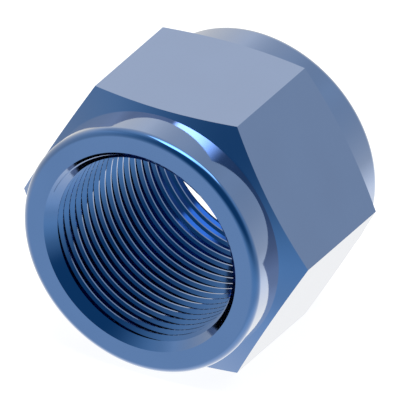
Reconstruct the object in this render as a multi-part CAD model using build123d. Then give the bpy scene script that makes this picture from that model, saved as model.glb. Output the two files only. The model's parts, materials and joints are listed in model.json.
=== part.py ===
from build123d import *
import math
import os

# Tube nut, turned in one piece from hexagon bar: a plain round collar at each end of the hexagon,
# the corners taken off by a shallow cone, and a parallel pipe-thread bore right through.
# Millimetres, +Z up. The nut lies on one flat, as it comes to rest. The bore runs along Y, the
# mouth that is looked into faces -Y, and the origin is the middle of the bore.

# Hexagon
across_flats = 55.0
hexagon_width = 30.2
corner_angle = 20.0

# Collars
collar_step = 1.2
collar_length = 8.3
rim_radius = 1.4

# Thread: 55 degree pipe form, 11 threads to the inch, bored here to its minor diameter
thread_major_diameter = 41.91
thread_pitch = 25.4 / 11
thread_depth_ratio = 0.640327

# Countersink at each mouth
mouth_clearance = 0.5
mouth_angle = 45.0

# Places that follow from the sizes above
collar_radius = across_flats / 2 - collar_step
half_hexagon = hexagon_width / 2
half_length = half_hexagon + collar_length
thread_radius = thread_major_diameter / 2 - thread_depth_ratio * thread_pitch
mouth_radius = thread_major_diameter / 2 + mouth_clearance
mouth_depth = (mouth_radius - thread_radius) / math.tan(math.radians(mouth_angle))
corner_radius = across_flats / math.sqrt(3)
clear_radius = corner_radius + collar_step
cone_width = (clear_radius - collar_radius) * math.tan(math.radians(corner_angle))


def hexagon_bar():
    """The bar stock: a hexagon prism along Y, lying on a flat."""
    section = Plane.XZ * RegularPolygon(across_flats / 2, 6, major_radius=False)
    return extrude(section, amount=half_length, both=True)


def half_section():
    """One half of what the lathe leaves: radius along X, place along the bore on Y.

    It runs from the middle out to the mouth. The slanted line over the hexagon is the cone that
    takes the corners off, and it starts on the collar at the hexagon's shoulder.
    """
    outline = Polyline(
        (thread_radius, 0),
        (thread_radius, half_length - mouth_depth),
        (mouth_radius, half_length),
        (collar_radius, half_length),
        (collar_radius, half_hexagon),
        (clear_radius, half_hexagon - cone_width),
        (clear_radius, 0),
        close=True,
    )
    section = make_face(outline)
    rim = section.vertices().sort_by_distance((collar_radius, half_length))[0]
    return fillet(rim, rim_radius)


def turned_form():
    """Both halves as one ring, swept round the bore."""
    half = half_section()
    section = half + mirror(half, about=Plane.XZ)
    return revolve(section, axis=Axis.Y)


def tube_nut():
    """The nut is what the bar and the turned form share."""
    nut = hexagon_bar() & turned_form()
    nut.label = "tube_nut"
    return nut


os.makedirs("parts", exist_ok=True)
export_step(tube_nut(), "parts/tube_nut.step")
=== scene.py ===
"""Tube nut: the anodised finish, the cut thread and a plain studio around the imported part."""

import json
import math

import bpy
import numpy as np
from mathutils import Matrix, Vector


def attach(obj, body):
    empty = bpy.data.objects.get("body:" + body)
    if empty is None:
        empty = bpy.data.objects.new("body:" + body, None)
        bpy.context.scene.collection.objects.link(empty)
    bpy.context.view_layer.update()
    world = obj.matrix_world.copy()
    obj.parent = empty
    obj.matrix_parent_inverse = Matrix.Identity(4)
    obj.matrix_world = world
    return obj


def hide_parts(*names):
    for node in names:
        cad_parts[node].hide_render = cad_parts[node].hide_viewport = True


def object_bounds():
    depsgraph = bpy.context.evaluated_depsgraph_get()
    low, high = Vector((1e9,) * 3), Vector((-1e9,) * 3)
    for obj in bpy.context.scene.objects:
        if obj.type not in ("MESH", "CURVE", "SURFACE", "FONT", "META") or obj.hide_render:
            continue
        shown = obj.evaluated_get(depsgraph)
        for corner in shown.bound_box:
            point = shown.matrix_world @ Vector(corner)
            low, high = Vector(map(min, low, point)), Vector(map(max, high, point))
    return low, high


MM = 0.001
TURN = 2 * math.pi
WHITE = "#ffffff"

# The frame, and the box of the CAD model before anything is added
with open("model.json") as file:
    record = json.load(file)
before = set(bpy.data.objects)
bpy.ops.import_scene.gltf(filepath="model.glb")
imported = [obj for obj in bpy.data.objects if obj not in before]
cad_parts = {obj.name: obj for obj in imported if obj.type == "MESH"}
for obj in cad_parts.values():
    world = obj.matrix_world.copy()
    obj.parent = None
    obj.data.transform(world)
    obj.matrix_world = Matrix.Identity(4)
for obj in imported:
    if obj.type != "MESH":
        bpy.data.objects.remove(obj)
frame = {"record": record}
cad_low, cad_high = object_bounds()
thread_mount = {mount["name"]: mount for mount in frame["record"]["mounts"]}["thread"]

# Sizes of the nut in metres. The bore runs along Y, the near mouth faces -Y, angles run from +Z
# towards +X. The lengths that the frame doesn't hold repeat the driving sizes of the solid
HALF_LENGTH = cad_high.y
INRADIUS = cad_high.z
BORE_RADIUS = thread_mount["dims"]["r_mm"] * MM
HEXAGON_WIDTH = 30.2 * MM
COLLAR_STEP = 1.2 * MM
RIM_RADIUS = 1.4 * MM
CORNER_ANGLE = math.radians(20)

# Places that follow from the sizes above. The countersink is a cone of 45 degrees, so it widens by
# as much as it is deep
HALF_HEXAGON = HEXAGON_WIDTH / 2
COLLAR_RADIUS = INRADIUS - COLLAR_STEP
MOUTH_DEPTH = HALF_LENGTH - thread_mount["dims"]["length_mm"] * MM / 2
MOUTH_RADIUS = BORE_RADIUS + MOUTH_DEPTH

# Thread: right-hand, 11 to the inch, with straight flanks this far off square and a narrow flat
# crest at the bored diameter. At the top of the bore a crest's middle is CREST_AT_TOP from the
# near face. Depth and flanks are matched to how the lines look, not to the standard's form
PITCH = 25.4 / 11 * MM
THREAD_DEPTH = 1.23 * MM
FLANK = math.radians(29.5)
CREST_HALF = 0.065 * PITCH
CREST_AT_TOP = 2.49 * MM

# Start of the thread, as places of the groove's middle behind the near face: the cutter grazes the
# countersink from the first place on, and plunges to full depth about the second
GRAZE_FROM = 0.85 * MM
FULL_FROM = 1.6 * MM
PLUNGE = 0.065 * MM

# The graze is a step at the groove's near corner. It grows from nothing to this depth, slopes back
# to the cone by this fall over length, and its own wall is this wide
GRAZE_DEPTH = 0.25 * MM
GRAZE_SLOPE = 0.54
GRAZE_STEP = 0.06 * MM

# Grid: every corner of the hexagon falls on a column, the helix starts whole turns outside the
# mouth, and a row close to each end of the rounded rim keeps the shading of its neighbours plain
COLUMNS = 336
FLANK_POINTS = 3
ROOT_POINTS = 4
TURNS_BEFORE = 3
RIM_STEPS = 12
RIM_SUPPORT = 0.1 * MM
WELD_STEP = 0.0001 * MM
SHARP_ANGLE = math.radians(30)

# Film: its dye takes a little more or less over patches of some 12 mm. Its colour goes over to
# white with this power of how slanting the view is
FILM_THIN = "#4371a9"
FILM_THICK = "#3b69a1"
FILM_PALING = 2.0
PATCH_WIDTH = 12 * MM

# Marks of the making. A lathe's feed and a bar's drawing lines are about 0.1 mm apart, too fine to
# show, so both are drawn 0.6 mm wide. They take the roughness from one value to the other while
# their noise goes through its usual range. The bar's lines fade in between two depths under a flat
MARK_WIDTH = 0.6 * MM
MARK_DEPTH = 0.0004 * MM
MARK_RANGE = (0.3, 0.7)
GLOSS_ROUGHNESS = (0.055, 0.085)
SKIN_DEPTH = (0.05 * MM, 0.02 * MM)

# Camera: parallel view from the front right, looking down. At azimuth 0 it would look along +Y
VIEW_AZIMUTH = math.radians(30)
VIEW_ELEVATION = math.radians(30)
VIEW_WIDTH = 77.424 * MM
VIEW_DISTANCE = 0.3
VIEW_CLIP = (0.001, 10)

# Tent: white cloth all round, in greys by height, which is -1 straight down and 1 straight up. The
# metal mirrors it at one strength, and it lights the floor at a lower one
TENT_STRENGTH = 1.15
TENT_LIGHT = 0.4
TENT_CLOTH = (
    (-0.75, "#ffffff"),
    (-0.64, "#ececec"),
    (-0.5, "#efefef"),
    (-0.25, "#cecece"),
    (0.1, "#d4d4d4"),
    (0.34, "#e0e0e0"),
    (0.5, "#efefef"),
    (0.64, "#dcdcdc"),
    (0.9, "#efefef"),
)

# The tent's back. By the cosine of the angle from its middle, which is level with the nut, it
# starts at the first value and is whole at the second. Between two heights its brightness goes
# from the first level to the second. Azimuths in the studio run from +X towards +Y
BACK_AZIMUTH = math.radians(60)
BACK_SPAN = (0.6, 0.88)
BACK_HEIGHT = (-0.45, 0.5)
BACK_LEVEL = (1.27, 0.82)

# The tent's opening on a dim room: it is clear up to one angle from its middle and shut from the
# other on. From the sill's upper height down to its lower one it closes towards the ground
ROOM_DARK = "#457389"
OPENING_AZIMUTH = math.radians(-62)
OPENING_ELEVATION = math.radians(26)
OPENING_CLEAR = math.radians(26)
OPENING_EDGE = math.radians(72)
OPENING_SILL = (-0.45, 0.05)

# Softbox overhead: a sheet, and a brighter zone at its tube. Both runs of the sheet go from 0 to 1.
# Each fade is a run, the place on it where the light starts and the place where it is whole
BOX_SIZE = (0.68, 0.38)
BOX_PLACE = (0.165, 0.03, 0.5)
BOX_TURN = math.radians(30)
BOX_RADIANCE = 3.4
SHEET_LEVEL = 1.0
SHEET_FADES = (("X", 0, 0.08), ("X", 1, 0.85), ("Y", 0.2, 0.4), ("Y", 1, 0.82))
TUBE_LEVEL = 1.5
TUBE_FADES = (("X", 0, 0.08), ("X", 0.6, 0.3), ("Y", 0, 0.25), ("Y", 0.7, 0.44))

# Floor: a matt board, with a glow for the camera alone that brings it up to white
FLOOR_HALF = 0.25
FLOOR_COLOUR = "#a0a0a0"
FLOOR_ROUGHNESS = 0.9
FLOOR_GLOW = 0.92


def thread_profile():
    """One pitch of the thread as (place along the bore, depth), from crest middle to crest middle.

    A narrow flat crest at the bored diameter, straight flanks, and a flat root: the depth grows
    from the crest's edge by the flank's slope until it reaches the thread's full depth. The near
    flank and the near half of the root have more rows, for the graze at the start. The place of
    the groove's near corner comes third.
    """
    corner = CREST_HALF + THREAD_DEPTH * math.tan(FLANK)
    near_flank = np.append(np.linspace(CREST_HALF, corner - GRAZE_STEP, FLANK_POINTS), corner)
    root = np.linspace(corner, PITCH / 2, ROOT_POINTS)[1:]
    far_flank = PITCH - np.linspace(corner, CREST_HALF, FLANK_POINTS)
    along = np.concatenate([[0], near_flank, root, far_flank])
    from_crest = np.minimum(along, PITCH - along)
    depth = np.clip((from_crest - CREST_HALF) / math.tan(FLANK), 0, THREAD_DEPTH)
    return along, depth, corner


def ring_points(radius, along, angle):
    """Cylinder coordinates to X, Y, Z: the angle runs from +Z towards +X, the axis is Y."""
    return np.stack([radius * np.sin(angle), along, radius * np.cos(angle)], axis=-1)


def follow_crossing(y, radius, crease, thread, mouth):
    """Moves points onto the line where thread and mouth cross, and marks them as a crease.

    Between two rows the crossing lies at the share a / (a - b) of the way, where a and b are how
    far the thread is outside the mouth at the first and the second. The nearer row's point moves.
    """
    apart = thread - mouth
    crossing = apart[:-1] * apart[1:] < 0
    share = apart[:-1] / np.where(crossing, apart[:-1] - apart[1:], 1)
    cross_y = y[:-1] + share * (y[1:] - y[:-1])
    cross_radius = mouth[:-1] + share * (mouth[1:] - mouth[:-1])
    for rows, nearer in ((slice(None, -1), share < 0.5), (slice(1, None), share >= 0.5)):
        chosen = crossing & nearer
        y[rows][chosen] = cross_y[chosen]
        radius[rows][chosen] = cross_radius[chosen]
        crease[rows][chosen] = True


def bore_grid():
    """The threaded bore: rows follow the helix, so they climb one pitch in a turn.

    Radius = the larger of the thread's profile and the countersink's cone. Rows that would lie
    outside the nut are held at the mouth, where they fall together into one ring. Where the thread
    begins, its profile is raised out of the wall, and the cutter leaves only a fine graze in the
    cone: a step at the groove's near corner that slopes back to the cone. Both edges of that step
    are creases.
    """
    along, depth, corner = thread_profile()
    turns = math.ceil(2 * HALF_LENGTH / PITCH) + TURNS_BEFORE + 1
    first = -HALF_LENGTH + CREST_AT_TOP - TURNS_BEFORE * PITCH
    base = (first + PITCH * np.arange(turns)).repeat(len(along))[:, None]
    row_along = np.tile(along, turns)[:, None]
    row_depth = np.tile(depth, turns)[:, None]
    angle = np.linspace(0, TURN, COLUMNS + 1)[None, :]
    climb = PITCH * angle / TURN

    y = np.clip(base + row_along + climb, -HALF_LENGTH, HALF_LENGTH)
    held = np.abs(y) >= HALF_LENGTH
    groove = base + PITCH / 2 + climb + HALF_LENGTH
    raised = THREAD_DEPTH * (1 - np.clip((groove - FULL_FROM) / PLUNGE + 0.5, 0, 1))
    cut = np.maximum(row_depth - raised, 0)
    thread = BORE_RADIUS + np.where(held, 0, cut)

    run = (groove - GRAZE_FROM) / (FULL_FROM - GRAZE_FROM)
    grazed = (run > 0) & (run < 1) & ~held
    behind = grazed & (row_along > corner - GRAZE_STEP / 2)
    graze = GRAZE_DEPTH * run - GRAZE_SLOPE * (row_along - corner)
    cone = MOUTH_RADIUS - (HALF_LENGTH - np.abs(y))
    mouth = cone + np.where(behind, np.maximum(graze, 0), 0)

    radius = np.maximum(thread, mouth)
    crease = grazed & (np.abs(row_along - corner + GRAZE_STEP / 2) < GRAZE_STEP)
    follow_crossing(y, radius, crease, thread, mouth)
    return ring_points(radius, y, np.broadcast_to(angle, y.shape)), crease


def outside_grid():
    """The outside, from the near mouth to the far one, as a section swept round the bore.

    Face, rounded rim (a quarter circle) and collar are the same all round. The hexagon's radius is
    the inradius over the cosine of the angle from the flat's middle, and the cone that takes its
    corners off meets it where that radius is reached.
    """
    angle = np.linspace(0, TURN, COLUMNS + 1)
    from_middle = (angle + TURN / 12) % (TURN / 6) - TURN / 12
    hexagon = INRADIUS / np.cos(from_middle)
    cone_end = HALF_HEXAGON - (hexagon - COLLAR_RADIUS) * math.tan(CORNER_ANGLE)

    turn = np.linspace(0, TURN / 4, RIM_STEPS + 1)
    rim_r = COLLAR_RADIUS - RIM_RADIUS + RIM_RADIUS * np.sin(turn)
    rim_y = HALF_LENGTH - RIM_RADIUS + RIM_RADIUS * np.cos(turn)
    plain_r = np.concatenate([[MOUTH_RADIUS, rim_r[0] - RIM_SUPPORT], rim_r, [COLLAR_RADIUS] * 2])
    plain_y = np.concatenate([[HALF_LENGTH] * 2, rim_y, [rim_y[-1] - RIM_SUPPORT, HALF_HEXAGON]])

    plain_r = np.repeat(plain_r[:, None], COLUMNS + 1, axis=1)
    plain_y = np.repeat(plain_y[:, None], COLUMNS + 1, axis=1)
    half_r = np.concatenate([plain_r, hexagon[None, :]])
    half_y = np.concatenate([plain_y, cone_end[None, :]])
    radius = np.concatenate([half_r, half_r[::-1]])
    y = np.concatenate([-half_y, half_y[::-1]])
    return ring_points(radius, y, np.broadcast_to(angle, y.shape)), np.zeros(y.shape, bool)


def grid_faces(rows, columns, first):
    """Quads of a grid of points numbered row by row from first."""
    corner = first + np.arange(rows - 1)[:, None] * columns + np.arange(columns - 1)
    corner = corner.ravel()
    return np.stack([corner, corner + 1, corner + columns + 1, corner + columns], axis=1)


def split_faces(faces, crease):
    """Cuts each quad that a crease crosses from corner to corner into two triangles along it.

    A triangle is kept as a quad with its last corner twice.
    """
    for start in (0, 1):
        a, b, c, d = np.roll(faces, -start, axis=1).T
        across = crease[a] & crease[c] & ~crease[b] & ~crease[d]
        halves = [np.stack(corners, axis=1)[across] for corners in ((a, b, c, c), (a, c, d, d))]
        faces = np.concatenate([faces[~across], *halves])
    return faces


def closed_mesh(name, grids):
    """Joins grids whose edges touch into one closed mesh.

    Points that fall together become one, and a face that loses sides by this keeps the rest of
    them, or goes where fewer than three are left. Each grid is its points, a flag on those that
    lie on a crease, and a flag that turns its faces.
    """
    faces, first = [], 0
    for points, crease, flip in grids:
        quads = grid_faces(*points.shape[:2], first)
        faces.append(quads[:, ::-1] if flip else quads)
        first += crease.size
    points = np.concatenate([points.reshape(-1, 3) for points, crease, flip in grids])
    creased = np.concatenate([crease.ravel() for points, crease, flip in grids])

    key = np.round(points / WELD_STEP).astype(np.int64)
    kept, index = np.unique(key, axis=0, return_index=True, return_inverse=True)[1:]
    index = index.ravel()
    crease = np.zeros(len(kept), bool)
    crease[index[creased]] = True
    faces = split_faces(index[np.concatenate(faces)], crease)
    distinct = faces != np.roll(faces, -1, axis=1)
    sides = distinct.sum(axis=1)
    loops = faces[sides >= 3][distinct[sides >= 3]]
    totals = sides[sides >= 3]

    mesh = bpy.data.meshes.new(name)
    mesh.vertices.add(len(kept))
    mesh.vertices.foreach_set("co", points[kept].ravel())
    mesh.loops.add(len(loops))
    mesh.loops.foreach_set("vertex_index", loops)
    mesh.polygons.add(len(totals))
    mesh.polygons.foreach_set("loop_start", np.cumsum(totals) - totals)
    mesh.update(calc_edges=True)
    mesh.validate()
    mark_sharp(mesh, crease)
    return mesh


def mark_sharp(mesh, crease):
    """Smooth shading, apart from edges past the sharp angle and those between two crease points."""
    mesh.shade_smooth()
    mesh.set_sharp_from_angle(angle=SHARP_ANGLE)
    ends = np.empty(2 * len(mesh.edges), np.int32)
    mesh.edges.foreach_get("vertices", ends)
    sharp = np.empty(len(mesh.edges), bool)
    mesh.edges.foreach_get("use_edge_sharp", sharp)
    mesh.edges.foreach_set("use_edge_sharp", sharp | crease[ends.reshape(-1, 2)].all(axis=1))


def tube_nut():
    """The whole nut as one closed mesh: the bore and the outside meet at the two mouths."""
    mesh = closed_mesh("tube_nut_dressed", [(*bore_grid(), True), (*outside_grid(), False)])
    nut = bpy.data.objects.new("tube_nut_dressed", mesh)
    bpy.context.scene.collection.objects.link(nut)
    return nut


def linear(hex_colour):
    """An sRGB hex colour as linear RGBA."""
    value = [int(hex_colour[i:i + 2], 16) / 255 for i in (1, 3, 5)]
    value = [v / 12.92 if v <= 0.04045 else ((v + 0.055) / 1.055) ** 2.4 for v in value]
    return (*value, 1.0)


def add(tree, kind, inputs=None, **settings):
    """Adds a node. Settings are its properties; an input is a value or another node's output.

    The inputs of a Mix node go by number, because their names repeat: 0 is the share, 2 and 3 are
    its two numbers, 4 and 5 its vectors, 6 and 7 its colours.
    """
    made = tree.nodes.new(kind)
    for name, value in settings.items():
        setattr(made, name, value)
    for key, value in (inputs or {}).items():
        if isinstance(value, bpy.types.NodeSocket):
            tree.links.new(value, made.inputs[key])
        else:
            made.inputs[key].default_value = value
    return made


def flat_share(tree, place):
    """One on the hexagon's flats and nothing elsewhere.

    The reach is the largest distance from the axis along the normals of the three pairs of flats.
    It comes up to the inradius on a flat alone.
    """
    reach = 0.0
    for turn in (0, TURN / 6, -TURN / 6):
        normal = (math.sin(turn), 0, math.cos(turn))
        side = add(tree, "ShaderNodeVectorMath", {0: place, 1: normal}, operation="DOT_PRODUCT")
        side = add(tree, "ShaderNodeMath", {0: side.outputs["Value"]}, operation="ABSOLUTE")
        reach = add(tree, "ShaderNodeMath", {0: reach, 1: side.outputs[0]}, operation="MAXIMUM").outputs[0]
    on_flat = add(tree, "ShaderNodeMapRange", {
        "Value": reach,
        "From Min": INRADIUS - SKIN_DEPTH[0],
        "From Max": INRADIUS - SKIN_DEPTH[1],
    }, interpolation_type="SMOOTHSTEP")
    return on_flat.outputs[0]


def making_marks(tree, place):
    """The fine lines that the making leaves, as a value about a half.

    Turning leaves rings, so their noise depends on the radius and the place along the bore. The
    flats are the bar's own drawn skin, and there it depends on X and Z alone, so lines run along Y.
    """
    across_bore = add(tree, "ShaderNodeVectorMath", {0: place, 1: (1, 0, 1)}, operation="MULTIPLY")
    radius = add(tree, "ShaderNodeVectorMath", {0: across_bore.outputs[0]}, operation="LENGTH")
    along = add(tree, "ShaderNodeSeparateXYZ", {0: place})
    ring_place = add(tree, "ShaderNodeCombineXYZ", {
        "X": radius.outputs["Value"],
        "Y": along.outputs["Y"],
    })
    where = add(tree, "ShaderNodeMix", {
        0: flat_share(tree, place),
        4: ring_place.outputs[0],
        5: across_bore.outputs[0],
    }, data_type="VECTOR")
    marks = add(tree, "ShaderNodeTexNoise", {
        "Vector": where.outputs[1],
        "Scale": 1 / MARK_WIDTH,
        "Detail": 2.0,
    })
    return marks.outputs[0]


def film_colour(tree, place):
    """The dyed film's colour: two shades in soft patches, going over to white in a flat view."""
    patches = add(tree, "ShaderNodeTexNoise", {
        "Vector": place,
        "Scale": 1 / PATCH_WIDTH,
        "Detail": 1.0,
    })
    film = add(tree, "ShaderNodeMix", {
        0: patches.outputs[0],
        6: linear(FILM_THIN),
        7: linear(FILM_THICK),
    }, data_type="RGBA")
    facing = add(tree, "ShaderNodeLayerWeight", {"Blend": 0.5}).outputs["Facing"]
    slant = add(tree, "ShaderNodeMath", {0: facing, 1: FILM_PALING}, operation="POWER")
    colour = add(tree, "ShaderNodeMix", {
        0: slant.outputs[0],
        6: film.outputs[2],
        7: linear(WHITE),
    }, data_type="RGBA")
    return colour.outputs[2]


def anodised_aluminium():
    """Blue anodised aluminium, turned and bright dipped: a clear dyed film over mirror-bright metal.

    The film's colour is seen looking straight in, and pales to white as the view gets flat. Under
    it the metal keeps the faint lines of its making, which soften the gloss in fine bands.
    """
    material = bpy.data.materials.new("blue_anodised_aluminium")
    material.use_nodes = True
    tree = material.node_tree
    tree.nodes.clear()
    place = add(tree, "ShaderNodeTexCoord").outputs["Object"]
    marks = making_marks(tree, place)
    gloss = add(tree, "ShaderNodeMapRange", {
        "Value": marks,
        "From Min": MARK_RANGE[0],
        "From Max": MARK_RANGE[1],
        "To Min": GLOSS_ROUGHNESS[0],
        "To Max": GLOSS_ROUGHNESS[1],
    })
    relief = add(tree, "ShaderNodeBump", {"Distance": MARK_DEPTH, "Height": marks})
    shader = add(tree, "ShaderNodeBsdfPrincipled", {
        "Base Color": film_colour(tree, place),
        "Metallic": 1.0,
        "Roughness": gloss.outputs[0],
        "Normal": relief.outputs[0],
    })
    add(tree, "ShaderNodeOutputMaterial", {"Surface": shader.outputs["BSDF"]})
    return material


def camera():
    """A parallel camera, aimed at the middle of the bore."""
    data = bpy.data.cameras.new("camera")
    data.type = "ORTHO"
    data.ortho_scale = VIEW_WIDTH
    data.clip_start, data.clip_end = VIEW_CLIP
    cam = bpy.data.objects.new("camera", data)
    bpy.context.scene.collection.objects.link(cam)
    level = VIEW_DISTANCE * math.cos(VIEW_ELEVATION)
    height = VIEW_DISTANCE * math.sin(VIEW_ELEVATION)
    cam.location = (level * math.sin(VIEW_AZIMUTH), -level * math.cos(VIEW_AZIMUTH), height)
    cam.rotation_euler = (math.pi / 2 - VIEW_ELEVATION, 0, VIEW_AZIMUTH)
    bpy.context.scene.camera = cam


def unit(azimuth, elevation=0.0):
    """The unit vector at an azimuth, which runs from +X towards +Y, and an elevation."""
    level = math.cos(elevation)
    return (level * math.cos(azimuth), level * math.sin(azimuth), math.sin(elevation))


def tent_cloth(tree, height):
    """The tent's grey by height."""
    share = add(tree, "ShaderNodeMapRange", {"Value": height, "From Min": -1.0, "From Max": 1.0})
    cloth = add(tree, "ShaderNodeValToRGB", {0: share.outputs[0]})
    stops = cloth.color_ramp.elements
    while len(stops) < len(TENT_CLOTH):
        stops.new(1.0)
    for stop, (place, colour) in zip(stops, TENT_CLOTH):
        stop.position = (place + 1) / 2
        stop.color = linear(colour)
    return cloth.outputs[0]


def tent_opening(tree, direction, height):
    """How far the tent is open, from nothing to one.

    This is a smooth step of the cosine of the angle from the opening's middle, times a smooth step
    of the height through the sill.
    """
    middle = unit(OPENING_AZIMUTH, OPENING_ELEVATION)
    nearness = add(tree, "ShaderNodeVectorMath", {0: direction, 1: middle}, operation="DOT_PRODUCT")
    opening = add(tree, "ShaderNodeMapRange", {
        "Value": nearness.outputs["Value"],
        "From Min": math.cos(OPENING_EDGE),
        "From Max": math.cos(OPENING_CLEAR),
    }, interpolation_type="SMOOTHSTEP")
    over_sill = add(tree, "ShaderNodeMapRange", {
        "Value": height,
        "From Min": OPENING_SILL[0],
        "From Max": OPENING_SILL[1],
    }, interpolation_type="SMOOTHSTEP")
    shares = {0: opening.outputs[0], 1: over_sill.outputs[0]}
    return add(tree, "ShaderNodeMath", shares, operation="MULTIPLY").outputs[0]


def back_level(tree, direction, height):
    """What the tent's brightness is multiplied by: one, but at its back a level by height."""
    middle = unit(BACK_AZIMUTH)
    nearness = add(tree, "ShaderNodeVectorMath", {0: direction, 1: middle}, operation="DOT_PRODUCT")
    at_back = add(tree, "ShaderNodeMapRange", {
        "Value": nearness.outputs["Value"],
        "From Min": BACK_SPAN[0],
        "From Max": BACK_SPAN[1],
    }, interpolation_type="SMOOTHSTEP")
    by_height = add(tree, "ShaderNodeMapRange", {
        "Value": height,
        "From Min": BACK_HEIGHT[0],
        "From Max": BACK_HEIGHT[1],
        "To Min": BACK_LEVEL[0],
        "To Max": BACK_LEVEL[1],
    })
    level = add(tree, "ShaderNodeMix", {0: at_back.outputs[0], 2: 1.0, 3: by_height.outputs[0]})
    return level.outputs[0]


def tent():
    """A white light tent, brightest at its ground, open at the front to a dim room.

    Its back is brighter low down and dimmer high up. The camera itself sees plain white. The floor
    is lit by the same tent, turned down, so that the softbox's shadow stays on it.
    """
    world = bpy.data.worlds.new("studio")
    bpy.context.scene.world = world
    world.use_nodes = True
    tree = world.node_tree
    tree.nodes.clear()
    direction = add(tree, "ShaderNodeTexCoord").outputs["Generated"]
    height = add(tree, "ShaderNodeSeparateXYZ", {0: direction}).outputs["Z"]
    walls = add(tree, "ShaderNodeMix", {
        0: tent_opening(tree, direction, height),
        6: tent_cloth(tree, height),
        7: linear(ROOM_DARK),
    }, data_type="RGBA")

    path = add(tree, "ShaderNodeLightPath")
    strength = add(tree, "ShaderNodeMix", {
        0: path.outputs["Is Glossy Ray"],
        2: TENT_LIGHT,
        3: TENT_STRENGTH,
    })
    strength = add(tree, "ShaderNodeMath", {
        0: strength.outputs[0],
        1: back_level(tree, direction, height),
    }, operation="MULTIPLY")
    mirrored = add(tree, "ShaderNodeBackground", {
        "Color": walls.outputs[2],
        "Strength": strength.outputs[0],
    })
    plain = add(tree, "ShaderNodeBackground", {"Color": linear(WHITE), "Strength": 1.0})
    light = add(tree, "ShaderNodeMixShader", {
        0: path.outputs["Is Camera Ray"],
        1: mirrored.outputs[0],
        2: plain.outputs[0],
    })
    add(tree, "ShaderNodeOutputWorld", {"Surface": light.outputs[0]})


def softbox():
    """A softbox overhead: an even sheet and a brighter zone at its tube, both fading at their edges.

    The light at a point is the sum over both of their level times a smooth step for each fade.
    """
    data = bpy.data.lights.new("softbox", "AREA")
    data.shape = "RECTANGLE"
    data.size, data.size_y = BOX_SIZE
    data.energy = BOX_RADIANCE * math.pi * data.size * data.size_y
    data.use_nodes = True
    tree = data.node_tree
    tree.nodes.clear()
    sheet = add(tree, "ShaderNodeNewGeometry").outputs["Parametric"]
    runs = add(tree, "ShaderNodeSeparateXYZ", {0: sheet})
    level = 0.0
    for zone, fades in ((SHEET_LEVEL, SHEET_FADES), (TUBE_LEVEL, TUBE_FADES)):
        for run, start, whole in fades:
            fade = add(tree, "ShaderNodeMapRange", {
                "Value": runs.outputs[run],
                "From Min": start,
                "From Max": whole,
            }, interpolation_type="SMOOTHSTEP")
            zone = add(tree, "ShaderNodeMath", {0: zone, 1: fade.outputs[0]}, operation="MULTIPLY").outputs[0]
        level = add(tree, "ShaderNodeMath", {0: level, 1: zone}, operation="ADD").outputs[0]
    light = add(tree, "ShaderNodeEmission", {"Strength": level})
    add(tree, "ShaderNodeOutputLight", {"Surface": light.outputs[0]})
    lamp = bpy.data.objects.new("softbox", data)
    lamp.location = BOX_PLACE
    lamp.rotation_euler = (0, 0, BOX_TURN)
    bpy.context.scene.collection.objects.link(lamp)
    lamp.visible_camera = False


def white_board():
    """Matt white board. Its colour takes the softbox's shadow, and its glow shows to the camera."""
    material = bpy.data.materials.new("white_board")
    material.use_nodes = True
    tree = material.node_tree
    tree.nodes.clear()
    seen = add(tree, "ShaderNodeLightPath").outputs["Is Camera Ray"]
    glow = add(tree, "ShaderNodeMath", {0: seen, 1: FLOOR_GLOW}, operation="MULTIPLY")
    shader = add(tree, "ShaderNodeBsdfPrincipled", {
        "Base Color": linear(FLOOR_COLOUR),
        "Roughness": FLOOR_ROUGHNESS,
        "Specular IOR Level": 0.0,
        "Emission Color": linear(WHITE),
        "Emission Strength": glow.outputs[0],
    })
    add(tree, "ShaderNodeOutputMaterial", {"Surface": shader.outputs["BSDF"]})
    return material


def floor():
    """The board that the nut lies on. The metal mirrors the tent's ground instead of it."""
    z, half = cad_low.z, FLOOR_HALF
    corners = [(-half, -half, z), (half, -half, z), (half, half, z), (-half, half, z)]
    mesh = bpy.data.meshes.new("floor")
    mesh.from_pydata(corners, [], [(0, 1, 2, 3)])
    board = bpy.data.objects.new("floor", mesh)
    bpy.context.scene.collection.objects.link(board)
    board.visible_glossy = False
    board.data.materials.append(white_board())


bpy.context.scene.view_settings.view_transform = "Standard"
nut = tube_nut()
nut.data.materials.append(anodised_aluminium())
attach(nut, "root")
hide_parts("tube_nut")
tent()
softbox()
floor()
camera()
